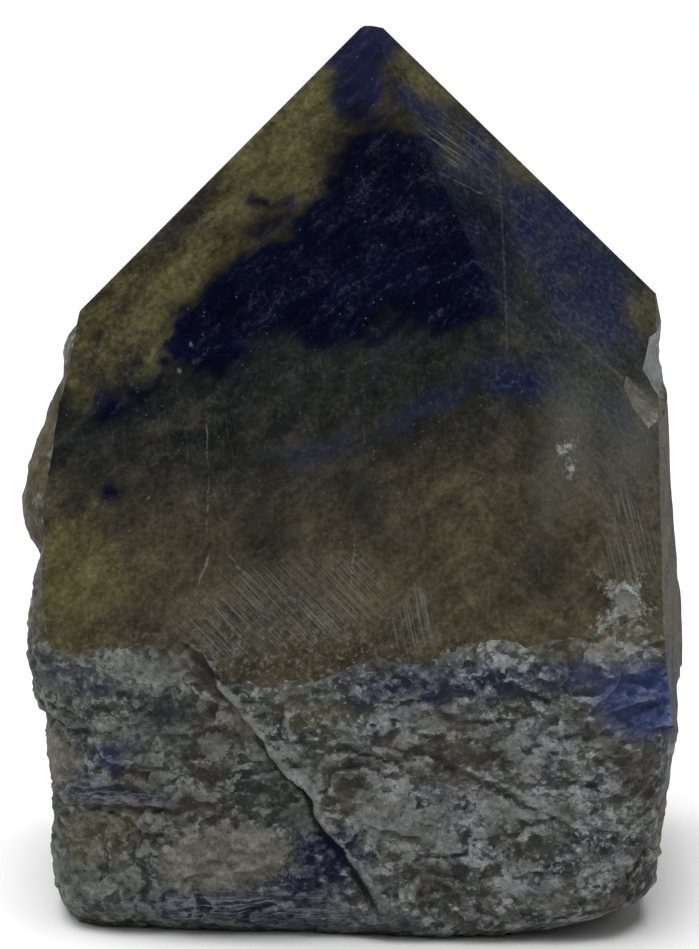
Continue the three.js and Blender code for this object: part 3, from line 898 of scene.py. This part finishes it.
class StoneRecipe(Recipe):
    """The recipe of a stone surface: where its minerals are, and its colour, laid coat by coat."""

    def __init__(self, name, colours, shows):
        super().__init__(bpy.data.materials.new(name))
        self.colours, self.axes, self.coat = colours, {}, None
        self.place = self.vector("SCALE", self.add("TexCoord").outputs["Object"], scale=1 / MM)
        self.at = self.add("SeparateXYZ", {0: self.place}).outputs
        self.near, self.close = self.wander(*FREE_WANDER), self.wander(*TIGHT_WANDER)
        self.clouds, self.grains = self.pattern("clouds"), self.pattern("grains")
        ragged = self.plus(RAGGED[0], (self.grains, RAGGED[1]), (self.clouds, RAGGED[2]))
        crumbled = self.plus(CRUMBLED[0], (self.grains, CRUMBLED[1]))
        self.found = {}
        for mineral, (parts, soft, crisp) in MINERALS.items():
            shown = [part for part in parts.values() if shows(*part)]
            depth = self.bodies(self.close if crisp else self.near, shown)
            uneven = crumbled if crisp else ragged
            self.found[mineral] = self.step(self.math("ADD", depth, uneven), -soft, soft)

    def stretched(self, place, size, turn=0):
        """The place on axes with these unit lengths, turned in the plane of the front."""
        inputs = {"Vector": place, "Rotation": (0, -math.radians(turn), 0), "Scale": size}
        return self.add("Mapping", inputs, vector_type="TEXTURE").outputs[0]

    def pattern(self, name, place=None):
        """One of the noises in the table."""
        size, turn, *noise = PATTERNS[name]
        place = self.place if place is None else place
        return self.noise(self.stretched(place, size, turn) if size else place, *noise)["Fac"]

    def scratched(self, name):
        """Fine grinding scratches that all run one way."""
        turn, spacing, length, sharp = SCRATCHES[name]
        place = self.stretched(self.place, (length, length, spacing), turn)
        return self.step(self.noise(place, *LINES)["Fac"], sharp, sharp + LINE_SOFTNESS)

    def crystals(self, place, size):
        """A tone from 0 to 1 for each small crystal face, and how near its edge is."""
        cells = self.add("TexVoronoi", {"Vector": place, "Scale": 1 / size, "Randomness": 1})
        tone = self.add("SeparateColor", {0: cells.outputs["Color"]}).outputs[0]
        return tone, cells.outputs["Distance"]

    def wander(self, size, amount, seed=0):
        """Moves places about, so that an edge drawn on them runs unevenly."""
        shifted = self.vector("ADD", self.place, (seed, 2 * seed, 0))
        cloud = self.noise(shifted, 1 / size, *WANDER_NOISE)["Color"]
        drift = self.vector("SUBTRACT", cloud, (0.5, 0.5, 0.5))
        return self.vector("ADD", self.place, self.vector("SCALE", drift, scale=amount))

    def turned(self, place, turn):
        """The place on turned axes, made once for each turn."""
        key = (place.node.name, turn)
        if turn and key not in self.axes:
            self.axes[key] = self.stretched(place, (1, 1, 1), turn)
        return self.axes[key] if turn else place

    def bodies(self, place, parts, meld=0.6):
        """How deep a place lies in the nearest body, in millimetres, and below zero outside."""
        deepest = None
        for middle, half, turn in parts:
            middle = Matrix.Rotation(math.radians(turn), 3, "Y") @ Vector(middle)
            fitted = self.add("VectorMath", operation="MULTIPLY_ADD")
            self.feed(fitted.inputs[0], self.turned(place, turn))
            self.feed(fitted.inputs[1], [1 / size for size in half])
            self.feed(fitted.inputs[2], [-at / size for at, size in zip(middle, half)])
            away = self.vector("LENGTH", fitted.outputs["Vector"])
            depth = self.math("MULTIPLY_ADD", away, -min(half), min(half))
            deepest = depth if deepest is None else self.math("SMOOTH_MAX", deepest, depth, meld)
        return deepest

    def zone(self, parts, soft):
        """1 inside some bodies, fading to 0 across their edges."""
        return self.step(self.bodies(self.near, parts), -soft, soft)

    def bruised(self, parts, low, high, most=1):
        """Crushed spots with crumbled edges."""
        depth = self.bodies(self.close, parts.values(), 0.3)
        crushed = self.plus(CRUSHED[0], (self.grains, CRUSHED[1]))
        return self.step(self.math("ADD", depth, crushed), low, high, 0, most)

    def tone(self, name):
        return tuple(getattr(self.colours, name))

    def mixed(self, share, first, second):
        """A mix of two of the stone's colours."""
        return self.blend(share, self.tone(first), self.tone(second))

    def shaded(self, colour, value, low, high):
        """A colour, darkened and lightened by an uneven value around one half."""
        light = self.step(value, *MIDDLING, low, high)
        grey = self.add("CombineColor", {"Red": light, "Green": light, "Blue": light})
        return self.blend(1, colour, grey.outputs[0], "MULTIPLY")

    def lay(self, share, colour):
        """Lays a share of a colour over the coats so far."""
        colour = self.tone(colour) if isinstance(colour, str) else colour
        self.coat = self.blend(share, self.coat, colour)

    def shade(self, value, low, high):
        self.coat = self.shaded(self.coat, value, low, high)

    def on_facet(self, name):
        """1 on one of the ground facets, told by the plane that it lies in."""
        facing, lean, reach = POLISHED_FACETS[name]
        inputs = {0: self.place, 1: direction_of(facing, lean)}
        along = self.add("VectorMath", inputs, operation="DOT_PRODUCT").outputs["Value"]
        return self.step(along, *(reach - below for below in NEAR_FACET))


def lay_polished_minerals(r):
    """Brown feldspar that turns grey higher up, with the khaki, blue and navy bodies in it."""
    height, near = r.at["Z"], r.add("SeparateXYZ", {0: r.near}).outputs
    level = r.plus(height, (r.pattern("swell"), 14), (r.at["X"], -0.2))
    r.coat = r.mixed(r.step(level, *GREY_TO_BROWN), "grey_olive", "warm_brown")
    r.lay(r.step(level, *GREY_TO_SLOPE), "slope")
    r.lay(r.step(r.clouds, 0.42, 0.68, 0, 0.35), "olive")
    r.lay(r.times(r.found["grey"], 0.85), "grey_olive")
    r.lay(r.found["khaki"], "khaki")
    r.shade(r.clouds, 0.78, 1.24)
    r.shade(r.grains, 0.66, 1.34)

    # feathers fan out to both sides of an upright plane in the stone
    aside = r.math("ABSOLUTE", r.math("SUBTRACT", near["X"], FEATHER_MIDDLE))
    folded = r.add("CombineXYZ", {"X": r.times(aside, -1), "Y": near["Y"], "Z": near["Z"]})
    feathers = r.pattern("feathers", folded.outputs[0])
    darkest = r.step(height, *FEATHERED, 0.82, 0.76)
    lightest = r.step(height, *FEATHERED, 1.18, 1.26)
    r.shade(feathers, darkest, lightest)
    r.shade(r.pattern("flecks", r.near), 0.86, 1.16)

    clouded = r.step(r.grains, 0.46, 0.74)
    blue = r.mixed(clouded, "royal_blue", "violet_grey")
    blue = r.blend(r.step(height, *DUSKY_BLUE, 0, 0.8), blue, r.tone("break_dusk"))
    r.lay(r.times(r.found["blue"], r.step(r.clouds, 0.5, 0.66, 0.95, 0.6)), blue)
    tip = r.step(height, *NECK_TO_TIP, 0, 0.8)
    deep = r.mixed(r.most(tip, r.times(clouded, 0.45)), "navy", "deep_violet")
    darkest = r.step(height, *CROWN_TO_NECK, 0.74, 0.85)
    lightest = r.step(height, *CROWN_TO_NECK, 1.26, 1.15)
    deep = r.shaded(r.shaded(deep, feathers, darkest, lightest), r.clouds, 0.62, 1.44)
    r.lay(r.found["navy"], deep)
    return feathers


def lay_haze_and_sheen(r, clear, right_front):
    """Faint light clouds that stand just below the polish, and a painted sheen over the whole right
    front facet.
    """
    fog = r.times(r.step(r.pattern("fog"), 0.48, 0.78, 0, 0.18), clear)
    # the haze zones, and a painted sheen at half strength over the whole right front facet
    haze_and_facet_sheen = r.plus(r.zone(HAZE_ZONES, 2), (right_front, 0.5))
    r.lay(r.plus(fog, (haze_and_facet_sheen, r.step(r.grains, 0.3, 0.7, 0.05, 0.24))), "haze")
    pale = r.zone(PALE_ZONES, 1.8)
    r.lay(r.times(pale, r.step(r.grains, 0.34, 0.66, 0.45, 0.85)), "pale_haze")


def lay_marks(r, feathers, clear, strip, right_front):
    """Veins, healed cracks, bright dots, grinding scratches and painted light on the right strip
    facet. Gives the stray scratches back.
    """
    places = r.wander(0.9, 1.8, 5)
    web = r.add("TexVoronoi", {"Vector": places, "Scale": 0.8}, feature="DISTANCE_TO_EDGE")
    web = web.outputs["Distance"]
    veins = r.times(
        r.step(web, 0.07, 0), r.step(r.clouds, 0.42, 0.6), r.zone(WEB_ZONES, 1.2)
    )
    crackle = r.times(
        r.step(web, 0.05, 0), r.step(feathers, 0.44, 0.62, 0, 0.13),
        r.step(r.grains, 0.44, 0.62, 0.1, 1),
    )

    fine = r.scratched("fine")
    ground = r.most(
        r.times(r.zone(SLANTED_HATCH, 1.2), r.scratched("slanted")),
        r.times(r.zone(STEEP_HATCH, 1), r.scratched("steep")),
        r.times(r.most(r.zone(UPPER_HATCH, 0.8), strip), fine),
    )
    strays = r.plus(r.scratched("stray"), (fine, r.times(right_front, 0.5)))
    faded = r.step(r.found["navy"], 0, 1, 1, 0.25)
    faded = r.times(r.step(r.grains, 0.38, 0.6, 0.03, 0.12), faded)

    cracked = r.wander(1.1, 0.5, 3)
    healed = r.step(r.bodies(cracked, CRACKS.values(), 0), -0.05, 0.06)
    healed = r.times(healed, r.step(r.grains, 0.4, 0.56, 0.15, 1))
    faint = r.step(r.bodies(cracked, FAINT_CRACKS.values(), 0), -0.14, 0.1)
    faint = r.times(faint, r.step(r.grains, 0.36, 0.6, 0.3, 1))

    tone, rim = r.crystals(r.place, 0.8)
    glints = r.times(r.step(tone, 0.54, 0.95), r.step(rim, 0.18, 0.06))
    thread = r.math("ABSOLUTE", r.math("SUBTRACT", r.pattern("thread", r.near), 0.5))
    wisps = r.times(r.step(thread, 0.009, 0), clear, r.step(r.grains, 0.42, 0.6, 0, 0.1))
    dry = r.times(
        r.step(feathers, 0.5, 0.68), r.step(r.grains, 0.4, 0.62, 0, 0.12),
        r.step(r.clouds, 0.42, 0.6, 0.15, 1),
    )

    r.lay(r.plus(
        wisps, (dry, r.found["navy"]), (crackle, clear), (ground, 0.34), (veins, 0.12),
        (faint, 0.18), (strays, faded), (glints, 0.3), (healed, 0.42),
    ), "vein")
    # painted light: the right strip facet is lightened with the crushed-stone colour, in a mottle,
    # as if lit from the right
    painted_strip_light = r.step(r.grains, 0.34, 0.66, 0.18, 0.46)
    painted_strip_light = r.times(painted_strip_light, r.step(r.clouds, 0.36, 0.64, 0.7, 1.2))
    r.lay(r.times(strip, painted_strip_light), "bruise")
    return strays


def lay_wear(r):
    """The worn lower edge of the polish and its crushed spots. Gives the crushed places back."""
    across = r.add("SeparateXYZ", {0: r.near}).outputs["X"]
    aside = r.math("ABSOLUTE", r.math("ADD", across, 4))
    worn = r.step(r.plus(r.at["Z"], (r.clouds, 10), (aside, 0.2)), *WORN_FOOT)
    crushed = r.times(worn, r.step(r.grains, 0.52, 0.7, 0, 0.34))
    crushed = r.most(r.bruised(BRUISES, -0.6, 0.7), crushed)
    r.lay(r.times(worn, r.step(r.grains, 0.48, 0.34, 0, 0.4)), "hollow")
    r.lay(r.times(crushed, 0.85), r.mixed(r.step(r.grains, 0.46, 0.62), "bruise", "flake"))
    return crushed


def polished_stone(colours, sizes):
    """Ground and polished stone: colour seen through a half-matte face with fine scratches."""
    r = StoneRecipe(
        "polished_sodalite", colours, lambda middle, half, turn: middle[2] + half[2] > POLISH_FOOT
    )
    right_front, strip = r.on_facet("right front"), r.on_facet("right strip")
    clear = r.step(r.found["navy"], 1, 0)
    feathers = lay_polished_minerals(r)
    lay_haze_and_sheen(r, clear, right_front)
    strays = lay_marks(r, feathers, clear, strip, right_front)
    crushed = lay_wear(r)

    base = sizes.polish_roughness
    dull = r.times(r.most(crushed, strip), 0.4)
    rough = r.math("ADD", dull, r.step(r.clouds, *MIDDLING, base - 0.05, base + 0.07))
    dents = r.relief(r.plus(r.times(r.grains, 0.35), (strays, -0.4)), 0.06, 0.8)
    return r.finish(r.coat, rough, POLISH_SHINE, dents)


def lay_broken_minerals(r):
    """Bare grey and brown stone with the khaki, olive, blue, navy and beige bodies in it."""
    x, z = r.at["X"], r.at["Z"]
    swell = r.pattern("broad swell")
    r.coat = r.mixed(r.step(swell, 0.42, 0.6), "break_grey", "break_brown")
    r.lay(r.times(r.found["khaki"], 0.7), "khaki")
    upper = r.step(r.plus(z, (r.grains, 5)), *OLIVE_BREAK)
    r.lay(r.times(upper, 0.8), "olive")
    r.shade(r.clouds, 0.6, 1.5)
    clear = r.step(x, *CLEAR_BLUE)
    r.lay(r.found["blue"], r.mixed(clear, "break_dusk", "break_blue"))
    r.lay(r.found["navy"], r.mixed(r.step(x, *BLUER_LEFT, 0, 0.7), "break_navy", "break_blue"))
    r.lay(r.times(r.found["beige"], 0.9), "beige")
    return swell, upper, clear


def lay_flakes(r, proud, torn, swell, upper, clear):
    """Torn pale flakes, crumbs and plates, with a partly painted highlight on the lips of the
    relief. Gives the sheets back, and their shreds and faces.
    """
    x, found = r.at["X"], r.found
    faces, _ = r.crystals(r.stretched(torn, (1.6, 1.6, 1), 10), 0.7)
    chips, chip_rim = r.crystals(r.stretched(torn, (1.3, 1.3, 1), -35), 0.42)
    wide, thin, shreds = r.pattern("wide"), r.pattern("thin", torn), r.pattern("shreds", torn)
    even = r.most(found["beige"], r.step(swell, 0.5, 0.64, 0, 0.8))
    tinted = r.most(found["blue"], r.most(found["navy"], upper))
    flaked, bare = r.zone(FLAKED_BODIES.values(), 1), r.zone(BARE_BODIES.values(), 1.2)
    # proud puts more pale flakes on the lips of the relief: partly the stone's own crushed flakes,
    # partly a painted highlight where the lips catch the light
    frost = r.plus(
        r.times(wide, 1.7), (proud, 1.9), (shreds, 1.7), (chips, 0.4), (faces, 0.5),
        (tinted, -0.2), (even, -0.22), (flaked, 0.42), (bare, -0.26),
    )

    # beyond is positive on the right of the diagonal break, where the flakes are brighter
    beyond = r.plus(x, (r.at["Z"], DIAGONAL_SLANT))
    sheet = r.step(frost, 3.12, 3.24)
    pale = r.times(r.step(thin, 0.38, 0.62, 0.4, 0.85), r.step(chip_rim, 0.35, 0.65, 1, 0.72))
    crumbs = r.times(
        r.step(chips, 0.42, 0.95, 0, 0.75), r.step(chip_rim, 0.5, 0.34),
        r.step(frost, 2.45, 3, 0.24, 0.95),
        r.step(r.plus(swell, (even, 0.3)), 0.6, 0.44, 0.25, 1),
        r.step(beyond, *BEYOND_DIAGONAL, 0.6, 1.1),
    )
    edge = r.plus(-1.3, (faces, 0.5), (r.grains, 2))
    depth = r.bodies(r.close, PALE_PLATES.values(), 0)
    plates = r.step(r.math("ADD", depth, edge), -0.1, 0.1)
    share = r.most(
        r.step(frost, 2.5, 3.3, 0, 0.28), r.times(sheet, pale), crumbs,
        r.times(plates, r.step(thin, 0.36, 0.64, 0.35, 0.65)),
    )

    warm = r.most(r.step(r.clouds, 0.46, 0.62), r.step(x, *WARMER_LEFT, 0, 0.6))
    over_blue = r.times(found["blue"], r.step(clear, 0, 1, 0.2, 0.8))
    tint = r.blend(over_blue, r.mixed(warm, "flake", "warm_flake"), r.tone("blue_flake"))
    r.lay(r.times(share, r.step(beyond, *BEYOND_DIAGONAL, 0.82, 1)), tint)
    r.lay(r.times(found["beige"], 0.3), "beige")
    r.shade(faces, 0.88, 1.12)
    r.shade(r.grains, 0.72, 1.28)
    return sheet, shreds, faces


def broken_stone(colours, sizes):
    """The rough break: dark stone under torn pale flakes and tiny bright crystals, with painted
    shade in its crevices.
    """
    r = StoneRecipe("broken_sodalite", colours, lambda middle, half, turn: (
        middle[2] < BREAK_TOP or abs(middle[0]) > BREAK_SIDE or middle[1] > BREAK_BACK
    ))
    torn = r.wander(0.7, 1, 11)
    attribute = r.add("Attribute", attribute_type="GEOMETRY", attribute_name="proud")
    proud = attribute.outputs["Fac"]
    sheet, shreds, faces = lay_flakes(r, proud, torn, *lay_broken_minerals(r))
    stripes = r.step(r.pattern("streaks", r.close), 0.48, 0.66, 0, 0.52)
    r.lay(r.times(r.zone(STREAKED_ZONES, 1.2), stripes), "flake")
    r.lay(r.bruised(BRUISES, -0.6, 0.8, 0.8), "bruise")
    upright = r.step(r.pattern("upright", r.close), 0.34, 0.66, 0.3, 0.92)
    r.lay(r.times(r.bruised(FROSTED_CHIPS, -0.7, 0.5), upright), "flake")
    # painted shade: the hollow colour darkens the crevices below the lips of the relief
    r.lay(r.step(proud, 0.3, 0, 0, 0.5), "hollow")

    base = sizes.break_roughness
    rough = r.step(sheet, 0, 1, base - 0.12, base + 0.1)
    relief = r.relief(r.plus(r.times(faces, 0.25), (shreds, 2.2)), 0.2, 0.9)
    return r.finish(r.coat, rough, BREAK_SHINE, relief)


# ----- What a user can change -----


def number(name, description, default, **more):
    return bpy.props.FloatProperty(name=name, description=description, default=default, **more)


def measure(name, description, default, least, most):
    return number(
        name, description, default * MM, min=least * MM, max=most * MM, unit="LENGTH", precision=5
    )


def swatch(name, description, *default):
    return bpy.props.FloatVectorProperty(
        name=name, description=description, default=(*default, 1.0), size=4, subtype="COLOR",
        min=0.0, max=1.0,
    )


class StoneSizes(bpy.types.PropertyGroup):
    """Sizes of the stone's finer shape."""

    edge_ease: measure(
        "Edge Ease", "Radius worn onto the edges between the polished facets", 0.35, 0.05, 1)
    ledge_softness: measure(
        "Ledge Softness", "Half the width of the step at each broken ledge", 0.26, 0.1, 2)
    flake_height: measure(
        "Flake Height", "How strongly the small cleavage planes of the break stand out", 1, 0, 2)
    pit_height: measure(
        "Pit Height", "Height of the finest pits and knobs of the break", 0.06, 0, 0.5)
    polish_roughness: number(
        "Polish Roughness", "Roughness of the ground and polished facets", 0.42,
        min=0.1, max=0.9, subtype="FACTOR")
    break_roughness: number(
        "Break Roughness", "Roughness of the broken skin", 0.72, min=0.2, max=0.9, subtype="FACTOR")


class StoneColours(bpy.types.PropertyGroup):
    """Colours of the minerals in the stone."""

    navy: swatch("Navy", "Deepest sodalite", 0.0009, 0.0018, 0.0095)
    deep_violet: swatch("Deep Violet", "Flecks in the deepest sodalite", 0.009, 0.0115, 0.034)
    royal_blue: swatch("Royal Blue", "Clear blue sodalite", 0.0045, 0.0075, 0.032)
    violet_grey: swatch("Violet Grey", "Clouded blue sodalite", 0.023, 0.029, 0.056)
    khaki: swatch("Khaki", "Yellow feldspar", 0.071, 0.064, 0.027)
    olive: swatch("Olive", "Olive feldspar", 0.066, 0.056, 0.029)
    warm_brown: swatch("Warm Brown", "Brown feldspar", 0.048, 0.0412, 0.0248)
    slope: swatch("Slope", "Dark, yellowish grey feldspar", 0.0285, 0.025, 0.012)
    grey_olive: swatch("Grey Olive", "Dark, greenish grey feldspar", 0.012, 0.0135, 0.013)
    beige: swatch("Beige", "Pale feldspar", 0.124, 0.119, 0.094)
    # Haze also paints a sheen over the right front facet.
    haze: swatch("Haze", "Haze just below the polish", 0.064, 0.078, 0.092)
    pale_haze: swatch("Pale Haze", "Lighter clouds just below the polish", 0.076, 0.076, 0.06)
    vein: swatch("Vein", "Healed cracks and scratches", 0.2, 0.205, 0.2)
    break_grey: swatch("Break Grey", "Bare broken stone", 0.033, 0.037, 0.0365)
    break_brown: swatch("Break Brown", "Bare broken feldspar", 0.041, 0.0375, 0.0285)
    break_blue: swatch("Break Blue", "Freshly broken blue sodalite", 0.019, 0.034, 0.108)
    break_dusk: swatch("Break Dusk", "Freshly broken, clouded sodalite", 0.0115, 0.0175, 0.039)
    break_navy: swatch("Break Navy", "Freshly broken dark sodalite", 0.0055, 0.0088, 0.032)
    flake: swatch("Flake", "Torn white flakes", 0.3, 0.328, 0.33)
    warm_flake: swatch("Warm Flake", "Torn beige flakes", 0.25, 0.252, 0.225)
    blue_flake: swatch("Blue Flake", "Torn flakes over blue sodalite", 0.13, 0.18, 0.37)
    # Bruise also paints light onto the right strip facet.
    bruise: swatch("Bruise", "Crushed stone", 0.23, 0.236, 0.22)
    hollow: swatch("Hollow", "Shaded hollows of the break", 0.018, 0.017, 0.014)


class StageSettings(bpy.types.PropertyGroup):
    """The floor, the lights and the camera."""

    floor_colour: swatch("Floor", "Plain pale floor", 0.9, 0.9, 0.9)
    floor_size: number("Floor Size", "Width of the plain floor", 12.0, min=1.0, unit="LENGTH")
    surround: number("Surround", "Strength of the even light from all around", 0.12, min=0.0)
    overhead: number(
        "Overhead Light", "Strength of the broad, even light from above", 3.35, min=0.0)
    overhead_breadth: number(
        "Overhead Breadth", "How broad the overhead light is, as an angle", math.radians(50),
        max=math.pi, subtype="ANGLE")
    side_power: number(
        "Side Lights", "Power of each soft light at the sides", 1.0, min=0.0, unit="POWER")
    fill_power: number(
        "Fill Light", "Power of the soft light above the camera", 0.8, min=0.0, unit="POWER")
    camera_target: bpy.props.FloatVectorProperty(
        name="Camera Target", description="The point that the camera looks at",
        default=(0.0, -0.011, 0.0455), size=3, subtype="TRANSLATION", unit="LENGTH")
    camera_distance: number(
        "Camera Distance", "From the target to the camera", 0.26, min=0.1, unit="LENGTH")
    camera_height: number(
        "Camera Height", "Angle of the camera above level", math.radians(10), subtype="ANGLE")
    camera_lens: number("Lens", "Focal length in millimetres", 98.63, min=20.0)


# ----- The operators -----


class SODALITE_OT_stone(bpy.types.Operator):
    """Build the rough stone with its polished point, in place of the plain solid"""

    bl_idname = "sodalite.stone"
    bl_label = "Rough Sodalite"

    def execute(self, context):
        sizes, colours = context.scene.stone_sizes, context.scene.stone_colours
        rock = rough_rock(sizes)
        grind_facets(rock, sizes.edge_ease / MM)
        mesh = as_mesh(rock, PIECE_NAME)
        mesh.materials.append(polished_stone(colours, sizes))
        mesh.materials.append(broken_stone(colours, sizes))
        stone = bpy.data.objects.new(PIECE_NAME, mesh)
        context.scene.collection.objects.link(stone)
        knock_out_chips(stone)
        stone.data.transform(Matrix.Scale(MM, 4))
        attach(stone, "root")
        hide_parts(STONE_NODE)
        return {"FINISHED"}


STAGE_MIDDLE = (0, 0, 0.04)
OVERHEAD_FROM = (-0.06, -0.1, 1.0)
# Place, width, the setting that has its power and the share of that power of each soft light.
SOFT_LIGHTS = {
    "left light": ((-0.62, 0.22, 0.34), 0.45, "side_power", 1.0),
    "right light": ((0.62, 0.2, 0.34), 0.45, "side_power", 0.5),
    "fill light": ((-0.1, -0.52, 0.72), 0.4, "fill_power", 1.0),
}
WHITE = (1, 1, 1, 1)
FLOOR_ROUGHNESS = 0.9
FLOOR_SHINE = 0.2
SENSOR_WIDTH = 36.0
CLIP_RANGE = (0.02, 50.0)


def placed(scene, name, data, facing, up="-Z"):
    """An object in the scene whose given axis points along a direction."""
    made = bpy.data.objects.new(name, data)
    made.rotation_euler = Vector(facing).to_track_quat(up, "Y").to_euler()
    scene.collection.objects.link(made)
    return made


def lay_floor(scene, settings):
    grid = bmesh.new()
    bmesh.ops.create_grid(grid, x_segments=1, y_segments=1, size=settings.floor_size / 2)
    mesh = as_mesh(grid, "floor")
    matt = Recipe(bpy.data.materials.new("matt_floor"))
    colour = tuple(settings.floor_colour)
    mesh.materials.append(matt.finish(colour, FLOOR_ROUGHNESS, FLOOR_SHINE))
    floor = bpy.data.objects.new("floor", mesh)
    scene.collection.objects.link(floor)


def hang_lights(scene, settings):
    sky = bpy.data.lights.new("overhead light", "SUN")
    sky.energy, sky.angle = settings.overhead, settings.overhead_breadth
    placed(scene, "overhead light", sky, OVERHEAD_FROM, "Z")
    for name, (place, size, power, share) in SOFT_LIGHTS.items():
        data = bpy.data.lights.new(name, "AREA")
        data.shape, data.size, data.energy = "DISK", size, share * getattr(settings, power)
        light = placed(scene, name, data, Vector(STAGE_MIDDLE) - Vector(place))
        light.location = place


def plain_surround(strength):
    """An even light from all around, which the camera sees as plain white."""
    r = Recipe(bpy.data.worlds.new("plain surround"))
    to_camera = r.add("LightPath").outputs["Is Camera Ray"]
    even = r.add("Background", {"Color": WHITE, "Strength": strength}).outputs[0]
    seen = r.add("Background", {"Color": WHITE}).outputs[0]
    r.add("OutputWorld", {0: r.add("MixShader", {0: to_camera, 1: even, 2: seen}).outputs[0]})
    return r.owner


def set_up_camera(scene, settings):
    data = bpy.data.cameras.new("camera")
    data.lens, data.sensor_width = settings.camera_lens, SENSOR_WIDTH
    data.clip_start, data.clip_end = CLIP_RANGE
    back = Vector((0, -math.cos(settings.camera_height), math.sin(settings.camera_height)))
    camera = placed(scene, "camera", data, -back)
    camera.location = Vector(settings.camera_target) + back * settings.camera_distance
    scene.camera = camera


class SODALITE_OT_stage(bpy.types.Operator):
    """Lay the plain floor, hang the soft lights and set up the camera"""

    bl_idname = "sodalite.stage"
    bl_label = "Floor, Lights and Camera"

    def execute(self, context):
        scene, settings = context.scene, context.scene.stage_settings
        scene.view_settings.view_transform = "Standard"
        lay_floor(scene, settings)
        hang_lights(scene, settings)
        scene.world = plain_surround(settings.surround)
        set_up_camera(scene, settings)
        return {"FINISHED"}


class SODALITE_PT_panel(bpy.types.Panel):
    """Rough sodalite"""

    bl_label = "Rough Sodalite"
    bl_idname = "SODALITE_PT_panel"
    bl_space_type = "VIEW_3D"
    bl_region_type = "UI"
    bl_category = "Sodalite"

    def draw(self, context):
        layout = self.layout
        for operator in OPERATORS:
            layout.operator(operator.bl_idname)
        for group in GROUPS:
            box = layout.box()
            settings = getattr(context.scene, group)
            for name in settings.bl_rna.properties.keys():
                if name not in ("rna_type", "name"):
                    box.prop(settings, name)


GROUPS = {"stone_sizes": StoneSizes, "stone_colours": StoneColours, "stage_settings": StageSettings}
OPERATORS = (SODALITE_OT_stone, SODALITE_OT_stage)


def register():
    for name, group in GROUPS.items():
        bpy.utils.register_class(group)
        setattr(bpy.types.Scene, name, bpy.props.PointerProperty(type=group))
    for made in (*OPERATORS, SODALITE_PT_panel):
        bpy.utils.register_class(made)


def unregister():
    for made in reversed((*OPERATORS, SODALITE_PT_panel)):
        bpy.utils.unregister_class(made)
    for name, group in reversed(GROUPS.items()):
        delattr(bpy.types.Scene, name)
        bpy.utils.unregister_class(group)


def main():
    register()
    bpy.ops.sodalite.stone()
    bpy.ops.sodalite.stage()


if __name__ == "__main__":
    main()
